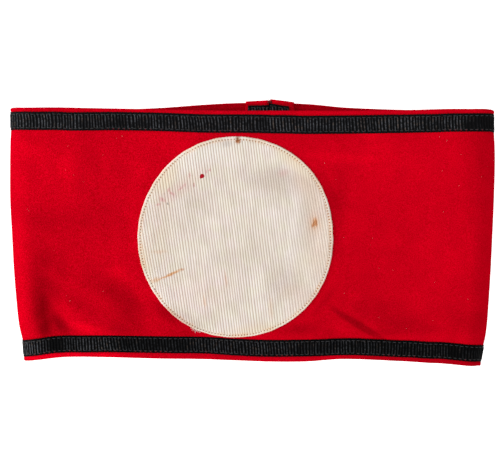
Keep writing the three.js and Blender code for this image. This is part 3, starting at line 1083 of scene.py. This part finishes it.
near_rim = np.array([0, 0.1, 0.25, 0.45, 0.7, 0.95, 1.2, 1.5, 2, 2.8])
near = near_rim * np.minimum(1, chord / 8)
inner = near[:, -1:] + (chord - 2 * near[:, -1:]) * np.linspace(0, 1, 70)[1:-1]
face_rows = np.concatenate([near, inner, chord - near[:, ::-1]], axis=1)
back_rows = chord * np.linspace(1, 0, 14)
v_grid = low_v[:, None] + np.concatenate([face_rows, back_rows], axis=1)
u_grid = np.broadcast_to(columns[:, None], v_grid.shape)
patch_u = u_grid * math.cos(patch_lean) - v_grid * math.sin(patch_lean)
patch_v = u_grid * math.sin(patch_lean) + v_grid * math.cos(patch_lean)
angle_grid = np.arctan2(patch_v, patch_u)
inset_grid = np.clip(patch_outline(angle_grid) - np.hypot(patch_u, patch_v), 0, None)

sewing_grid = stitch_turn(angle_grid) + patch_stitch_count * ((patch_u < 0) & (patch_v < 0))
further_lean = math.tan(math.radians(1.5)) * smoothstep(-u_grid, 20, 42)
further_lean = further_lean + math.tan(math.radians(3)) * smoothstep(u_grid, 10, 40)
rib_phase = (u_grid + further_lean * v_grid) / patch_rib_pitch
rib_phase = rib_phase + 0.3 * wander(u_grid, 6, 61) * wander(v_grid, 19, 62)
rib_share = blend(0.1, 1, smoothstep(inset_grid, 1, 2))
patch_depth = patch_height(angle_grid, inset_grid)
patch_depth = patch_depth + patch_rib_rise * rib_share * rib_profile(rib_phase)
patch_depth[:, face_rows.shape[1]:] = patch_gap
patch_points = on_front(patch_x + patch_u, patch_y + patch_v, patch_depth)
patch_faces = tube_faces(*v_grid.shape) + end_faces(*v_grid.shape)

# Old marks on the patch, oval, at places on the finished band
stain_colours = {
    "orange": (0.72, 0.33, 0.1, 1),
    "rust": (0.5, 0.2, 0.08, 1),
    "brown": (0.2, 0.075, 0.03, 1),
    "dye": (0.44, 0.0, 0.012, 1),
    "pink": (0.7, 0.3, 0.32, 1),
    "dark": (0.12, 0.08, 0.09, 1),
    "cream": (0.87, 0.75, 0.56, 1),
    "tan": (0.74, 0.54, 0.43, 1),
    "grey": (0.5, 0.44, 0.42, 1),
    "soil": (0.53, 0.42, 0.36, 1),
    "fresh": (0.92, 0.89, 0.85, 1),
}
stain_table = named_rows(
    "x y turn along across colour share firm",
    (29, 0, 92, 38, 11, "tan", 0.5),
    (13, -17.5, 60, 16, 10, "soil", 0.42),
    (22, -28, 42, 16, 6, "tan", 0.35),
    (21, -20, 70, 11, 8, "soil", 0.3),
    (9, 24.5, -12, 23, 10, "soil", 0.42),
    (24, 21, -52, 16, 9, "tan", 0.4),
    (-24, 14, 50, 16, 10, "soil", 0.22),
    (-17, 37, 12, 20, 7, "fresh", 0.6),
    (23.5, 9, 88, 20, 6.5, "soil", 0.3),
    (14, 28, -20, 10, 6, "soil", 0.25),
    (18, -23, 10, 10, 6, "tan", 0.32),
    (22, 26, -50, 9, 6, "tan", 0.32),
    (21, -12, 90, 14, 7, "cream", 0.22),
    (-5, -9, 0, 20, 14, "soil", 0.16),
    (-41, 3, 85, 30, 10, "tan", 0.2),
    (-28, -35, -37, 15, 4, "soil", 0.4),
    (-32.5, -34.2, -37, 12, 1.6, "rust", 0.4, 0.4),
    (-36, 26, 55, 13, 5, "cream", 0.7),
    (17, 34, -40, 16, 5, "cream", 0.8),
    (-46.5, -8, 98, 15, 4, "cream", 0.6),
    (2, -40, 8, 24, 5, "cream", 0.6),
    (-24, -24, 20, 26, 16, "pink", 0.12),
    (-35.4, -15.4, 24.6, 8.8, 0.85, "orange", 0.95),
    (-30.1, -13.1, 25, 1.2, 0.7, "rust", 0.6),
    (-33.6, -14.7, 25, 1.3, 0.6, "rust", 0.4),
    (-41.6, -17.7, 20, 3, 1.8, "orange", 0.5),
    (25.8, 7.8, 90, 7.5, 5, "tan", 0.32),
    (26.6, 7, 90, 7, 4.2, "orange", 0.2),
    (26.5, 7.2, 88, 3.3, 1.9, "orange", 0.75),
    (26, 6.7, 84, 2.5, 0.8, "rust", 1.2),
    (27.1, 7.4, 96, 3, 0.8, "rust", 1.2),
    (-6.1, 42.3, 95, 2.2, 1.5, "rust", 1.7),
    (-6.2, 42.9, 95, 1.7, 1, "brown", 0.9),
    (-10.4, 40.8, 10, 3.6, 2, "grey", 0.36),
    (-31, 21.5, 37, 19, 5, "pink", 0.22),
    (-21.2, 27.2, 60, 1.08, 0.95, "dye", 1.6, 0.75),
    (-34.2, 20, -36, 2.2, 1, "pink", 0.66),
    (-35.3, 21.4, 65, 1.5, 0.8, "pink", 0.6),
    (-38.2, 17.3, -35, 2.4, 1.2, "pink", 0.55),
    (-39.8, 15.2, 20, 1.9, 0.9, "pink", 0.5),
    (-30.3, 21.9, 33, 1.9, 0.7, "pink", 0.6),
    (-28.6, 23.6, 60, 1.4, 0.7, "pink", 0.5),
    (-24.6, 23.6, 84, 1.4, 0.5, "dye", 0.7),
    (-26.4, 27.6, 84, 2, 0.6, "pink", 0.5),
    (-19.2, 29.2, 80, 1.5, 0.6, "pink", 0.7),
    (-17.8, 29.9, 84, 1.3, 0.6, "pink", 0.7),
    (-35.9, 15.4, -50, 0.9, 0.5, "dark", 0.9),
    (-42.1, -21.7, 10, 0.7, 0.5, "dark", 0.9),
    (-11.4, -17.4, 95, 5, 1, "orange", 0.35),
    (-20.6, -27.4, 98, 4.5, 1, "orange", 0.35),
    (-39.8, -5.4, 2, 5.5, 1.4, "orange", 0.24),
    (13.3, 28.6, 20, 4, 2.6, "pink", 0.3),
    (8, -30, 95, 9, 1.6, "orange", 0.2),
)

patch_cloth = new_finish("patch_cloth", roughness=0.7, specular=0.15)
patch_shader = shader_of(patch_cloth)
patch_shader.inputs["Sheen Weight"].default_value = 0.05
patch_phase, patch_inset = read_map(patch_cloth, "Ribs")
sewing_turn, _ = read_map(patch_cloth, "Sewing")
patch_place = object_place(patch_cloth)
patch_grain = add_grain(patch_place)
fair = ease(patch_grain["Clouds"], 0.3, 0.7)
patch_colour = tint(fair, (0.83, 0.775, 0.7, 1), (0.895, 0.85, 0.79, 1))
hue = ease(lumps(patch_place, 7, 3), 0.36, 0.64)
hue_colour = tint(hue, (1, 0.975, 0.99, 1), (1, 1, 0.96, 1))
patch_colour = tint(1.0, patch_colour, hue_colour, "MULTIPLY")
streaks = ease(lumps(stretched(patch_place, 97, 1, 0.1), 11), 0.35, 0.65)
streak_colour = tint(streaks, (0.95, 0.94, 0.93, 1), (1.03, 1.03, 1.03, 1))
patch_colour = tint(1.0, patch_colour, streak_colour, "MULTIPLY")

# The marks have ragged rims: their places are shaken by soft noise of that size
ragged = 1.4
patch_nodes = patch_cloth.node_tree
shaking = lumps(patch_place, ragged).node.outputs["Color"]
most_shaken = (ragged * mm, ragged * mm, 0)
unshaken = (ragged / 2 * mm, ragged / 2 * mm, 0)
ragged_start = add_node(patch_nodes, "VectorMath", patch_place, unshaken, operation="SUBTRACT").outputs[0]
ragged_node = add_node(
    patch_nodes, "VectorMath", shaking, most_shaken, ragged_start, operation="MULTIPLY_ADD"
)
ragged_place = ragged_node.outputs[0]
stain_break = ease(patch_grain["Grain"], 0.3, 0.55, 0.6, 1)
for stain in stain_table:
    stained = times(weighed_spot(ragged_place, stain, "share"), stain_break)
    patch_colour = tint(stained, patch_colour, stain_colours[stain["colour"]])

# The grooves between the ribs are painted darker and pinker: partly the cloth's own tone, partly painted
# shade, strongest at the left
from_left, _, _ = split_place(patch_place)
patch_groove_shade = times(
    ease(from_crest(patch_phase), 0.4, 0.95),
    ease(patch_inset, 1.1, 1.9),
    ease(from_left, 0, 26 * mm, 1, 0.5),
)
tone = lumps(patch_place, 5, 3)
patch_groove_tone_and_shade = tint(ease(tone, 0.35, 0.65), (0.67, 0.57, 0.47, 1), (0.71, 0.56, 0.51, 1))
patch_colour = tint(patch_groove_shade, patch_colour, patch_groove_tone_and_shade, "MULTIPLY")
rim_tone = times(ease(patch_inset, 2.6, 1.1), ease(tone, 0.35, 0.65, 0.05, 1))
patch_colour = tint(rim_tone, patch_colour, (1.03, 0.91, 0.81, 1), "MULTIPLY")
hole_stain = times(
    ease(from_crest(sewing_turn), 0.3, 0.85),
    ease(patch_inset, 0.5, 0.95),
    ease(patch_inset, 1.8, 1.3),
    ease(lumps(patch_place, 4, 3), 0.35, 0.65, 0.15, 0.9),
)
patch_colour = tint(hole_stain, patch_colour, (0.8, 0.52, 0.34, 1), "MULTIPLY")
feed(patch_shader.inputs["Base Color"], patch_colour)
feed(patch_shader.inputs["Normal"], relief(patch_grain["Grain"], 0.08))

patch = make_piece(
    "round_patch",
    patch_points + shift,
    patch_faces,
    patch_cloth,
    {"Ribs": (rib_phase, inset_grid), "Sewing": (sewing_grid, inset_grid)},
)
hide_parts("disc")


# The sewing round the patch: cream thread in short stitches just inside the fold, with a needle hole,
# brown with age, between each two
stitch_size = (0.95, 0.12)
hole_size = (0.46, 0.23)
cream_lift = 0.07
cream_dip = 0.14
hole_lift = 0.06


def place_on_patch(centre, local):
    """Lays a stitch's own points, along, inwards and up, on the rim of the patch."""
    turn, inset, height, tilt = centre
    angle = np.interp(turn / patch_stitch_count * rim_runs[-1], rim_runs, rim_angles)
    radius = np.interp(angle, rim_angles, rim_radius) - inset
    along = local[:, 0]
    inwards = local[:, 1] + tilt * along
    x = (radius - inwards) * math.cos(angle) - along * math.sin(angle)
    y = (radius - inwards) * math.sin(angle) + along * math.cos(angle)
    dip = cream_dip * (along / along.max()) ** 2
    depth = patch_height(angle, inset) + height - dip + local[:, 2]
    return on_front(patch_x + x, patch_y + y, depth)


cream_thread = new_finish("cream_thread", roughness=0.6, specular=0.3, colour=(0.8, 0.73, 0.62, 1))
needle_brown = new_finish("needle_brown", roughness=0.9, specular=0.1)
brown_place = object_place(needle_brown)
hole_tone = ease(lumps(brown_place, 9), 0.35, 0.65)
hole_colour = tint(hole_tone, (0.24, 0.115, 0.06, 1), (0.45, 0.185, 0.08, 1))
soiled_holes = spot(brown_place, x=-28, y=-29, turn=-48, along=26, across=10, firm=0.3)
hole_colour = tint(soiled_holes, hole_colour, (0.13, 0.065, 0.04, 1))
feed(shader_of(needle_brown).inputs["Base Color"], hole_colour)

rng = np.random.default_rng(9)
stitch_centres = []
hole_centres = []
for turn in range(patch_stitch_count):
    jitter, drift, tilt, depth = rng.uniform(-1, 1, 4)
    stitch_inset = patch_stitch_line + 0.06 * drift
    hole_inset = patch_stitch_line + 0.1 * tilt
    stitch_centres.append((turn + 0.5 + 0.06 * jitter, stitch_inset, cream_lift, 0.1 * tilt))
    hole_centres.append((turn + 0.08 * drift, hole_inset, hole_lift + 0.05 * depth, 0))
patch_sewing = sewn_stitches("patch_stitches", stitch_centres, place_on_patch, stitch_size, cream_thread)
needle_holes = sewn_stitches("needle_holes", hole_centres, place_on_patch, hole_size, needle_brown)


# The nap: loose wool hairs that stand out along the hems and the raw ends and lie curled on the
# faces, a little pale lint, frayed ends at the patch's rim, and the red thread inside the seam
def hair_mesh(name, spines, radius, finish):
    """Fine hairs along spines (hair, point, place): closed three-sided tubes that taper to the tip."""
    count, steps = spines.shape[:2]
    along = np.gradient(spines, axis=1)
    along /= np.linalg.norm(along, axis=2, keepdims=True)
    side = np.cross(along, [0.29, 0.18, 0.94])
    side /= np.linalg.norm(side, axis=2, keepdims=True)
    up = np.cross(side, along)
    corner = np.radians([90, 210, 330])[:, None]
    ring = np.cos(corner) * side[:, :, None] + np.sin(corner) * up[:, :, None]
    taper = radius * np.linspace(1, 0.3, steps)[:, None, None]
    points = (spines[:, :, None] + taper * ring).reshape(-1, 3)
    first = 3 * steps * np.arange(count)[:, None, None]
    row = 3 * np.arange(steps - 1)[:, None]
    a = first + row + np.arange(3)
    b = first + row + np.array([1, 2, 0])
    faces = np.stack([a, a + 3, b + 3, b], axis=-1).reshape(-1, 4).tolist()
    faces += (first[:, 0] + np.array([0, 1, 2])).tolist()
    faces += (first[:, 0] + 3 * (steps - 1) + np.array([2, 1, 0])).tolist()
    above_table = 0.02
    points[:, 2] = np.maximum(points[:, 2], above_table)
    return make_piece(name, points + shift, faces, finish)


def grow(run, y, depth, reach):
    """Spines from roots on the strip. reach (hair, point, way) goes along, up and out from there."""
    step = 0.05
    root = lay(run, y, depth)
    ahead = lay(np.clip(run + step, 0, strip_length), y, depth)
    behind = lay(np.clip(run - step, 0, strip_length), y, depth)
    ways = [ahead - behind, lay(run, y + step, depth) - root, lay(run, y, depth + step) - root]
    ways = [way / np.linalg.norm(way, axis=1, keepdims=True) for way in ways]
    return root[:, None] + sum(reach[:, :, k, None] * ways[k][:, None] for k in range(3))


def curls(rng, count, length, steps=4):
    """Random curled hairs that start in the way given as the first number of each point."""
    share = np.linspace(0, 1, steps)
    size = length * (0.35 + 0.65 * rng.uniform(0, 1, (count, 1)) ** 2)
    sway = rng.uniform(-0.8, 0.8, (count, 2, 1)) + rng.uniform(-0.7, 0.7, (count, 2, 1)) * share
    ahead = size * share * (1 - 0.25 * share)
    return np.stack([ahead, size * share * sway[:, 0], size * share * sway[:, 1]], axis=2)


# Hairs along the hems, at the raw ends and on the faces
rng = np.random.default_rng(17)
hem_count = 4200
hem_side = rng.choice([-1, 1], hem_count)
hem_run = rng.uniform(0, strip_length, hem_count)
hem_out = rng.uniform(-0.9, 0.9, hem_count)
hem_y = hem_side * (face_edge + (edge_round - 0.12) * np.sqrt(1 - hem_out**2))
hem_reach_out = curls(rng, hem_count, 0.85)[:, :, [1, 0, 2]] * np.array([1, 1, 0.8])
hem_reach_out[:, :, 1] *= hem_side[:, None]
hem_depth = (hem_out - 1) * cloth_thickness / 2
hem_spines = grow(hem_run, hem_y, hem_depth, hem_reach_out)

end_count = 600
end_side = rng.choice([-1, 1], end_count)
end_root = 0.02
end_run = np.where(end_side < 0, end_root, strip_length - end_root)
end_reach = curls(rng, end_count, 0.9)
end_reach[:, :, 0] *= end_side[:, None]
end_spines = grow(
    end_run,
    rng.uniform(-half_height + 0.3, half_height - 0.3, end_count),
    -cloth_thickness * rng.uniform(0.25, 0.75, end_count),
    end_reach,
)

face_count = 5900
share = np.linspace(0, 1, 4)
heading = rng.uniform(0, 2 * math.pi, (face_count, 1)) + rng.uniform(-0.9, 0.9, (face_count, 1)) * share
size = rng.uniform(0.5, 1.3, (face_count, 1)) * share
height = rng.uniform(0.03, 0.16, (face_count, 1)) * np.sin(math.pi * share * 0.85) - 0.01
face_reach = np.stack([size * np.cos(heading), size * np.sin(heading), height], axis=2)
face_run = rng.uniform(1, strip_length - 1, face_count)
face_y = rng.uniform(-1, 1, face_count) * (inner_ribbon_edge - 0.6)
patch_run = front_middle + patch_x
bare = np.hypot(face_run - patch_run, face_y - patch_y) > patch_radius + 2.2
face_spines = grow(face_run, face_y, swell(face_run, face_y), face_reach)[bare]

wool_hair = new_finish("wool_hair", roughness=0.8, specular=0.1, colour=(0.66, 0.0, 0.013, 1))
nap_spines = np.concatenate([hem_spines, end_spines, face_spines])
nap_hairs = hair_mesh("wool_nap", nap_spines, radius=0.018, finish=wool_hair)

# The bits of lint that stand out in the photo are placed, and the others are strewn
lint_places = np.array([
    (-55.8, 42.1), (-53.8, 43), (-75.7, 38.6), (-61.6, 35.1), (-63.2, -24), (79.7, 41), (96, 30.2),
    (94, 26.1),
])
more_lint = 46
lint_x = np.concatenate([lint_places[:, 0], rng.uniform(-94, 94, more_lint)])
lint_y = np.concatenate([lint_places[:, 1], rng.uniform(-43, 43, more_lint)])
clear = np.hypot(lint_x - patch_x, lint_y - patch_y) > patch_radius + 2
lint_reach = curls(rng, lint_x.size, 0.75, 5)
lint_reach[:, :, 2] = 0.05 + 0.1 * np.abs(lint_reach[:, :, 2])
lint_run = front_middle + lint_x
lint_spines = grow(lint_run, lint_y, swell(lint_run, lint_y), lint_reach)[clear]
lint_finish = new_finish("pale_lint", roughness=0.9, specular=0.1, colour=(0.75, 0.5, 0.45, 1))
lint = hair_mesh("pale_lint", lint_spines, radius=0.05, finish=lint_finish)

# Frayed ends of the patch's cloth, at the lower left of its rim, and single ones further round
fray_count = 70
tufted = 30
fray_angle = np.concatenate([rng.normal(247, 1.4, tufted), rng.uniform(0, 360, fray_count - tufted)])
fray_angle = np.radians(fray_angle)
fray_radius = patch_outline(fray_angle) - 0.05
fray_share = np.linspace(0, 1, 5)
fray_size = np.where(np.arange(fray_count) < tufted, rng.uniform(0.6, 1.7, fray_count), 0.4)[:, None]
fray_turn = fray_angle[:, None] + rng.uniform(-1.1, 1.1, (fray_count, 1)) * (0.4 + fray_share)
fray_reach = fray_size * fray_share
fray_x = (fray_radius * np.cos(fray_angle))[:, None] + fray_reach * np.cos(fray_turn)
fray_y = (fray_radius * np.sin(fray_angle))[:, None] + fray_reach * np.sin(fray_turn)
fray_depth = 0.16 + 0.12 * np.sin(4 * fray_share)
fray_spines = on_front(patch_x + fray_x, patch_y + fray_y, fray_depth)
frayed_thread = new_finish("frayed_thread", roughness=0.8, specular=0.1, colour=(0.8, 0.66, 0.62, 1))
frayed_ends = hair_mesh("frayed_ends", fray_spines, radius=0.05, finish=frayed_thread)


# The seam's own sewing: a row of tight red stitches, sunk between its two folds, and a dark tuft of
# thread ends at the top
seam_stitch_z = rear_z + fold_radius - 0.5
seam_stitch_count = 46
tight_stitch = (3.2, 0.26)


def place_in_seam(centre, local):
    return drape(seam_x + local[:, 1], centre + local[:, 0], seam_stitch_z + local[:, 2])


red_thread = new_finish("red_thread", roughness=0.6, specular=0.2, colour=(0.3, 0.0, 0.008, 1))
seam_centres = np.linspace(-half_height + 1.2, half_height - 0.7, seam_stitch_count)
seam_thread = sewn_stitches("seam_stitches", seam_centres, place_in_seam, tight_stitch, red_thread)

tuft_count = 18
tuft_share = np.linspace(0, 1, 6)
tuft_start = rng.uniform(-0.35, 0.35, (tuft_count, 1))
tuft_x = seam_x + tuft_start + rng.uniform(-2.2, 0.9, (tuft_count, 1)) * tuft_share**1.3
tuft_y = half_height - 0.2 + rng.uniform(0.6, 1.9, (tuft_count, 1)) * np.sin(1.9 * tuft_share)
tuft_z = rear_z + 2 * fold_radius - 0.1 + rng.uniform(0, 0.9, (tuft_count, 1)) * tuft_share
tuft_spines = drape(tuft_x, tuft_y, tuft_z)
seam_tuft = hair_mesh("seam_tuft", tuft_spines, radius=0.055, finish=black_thread)

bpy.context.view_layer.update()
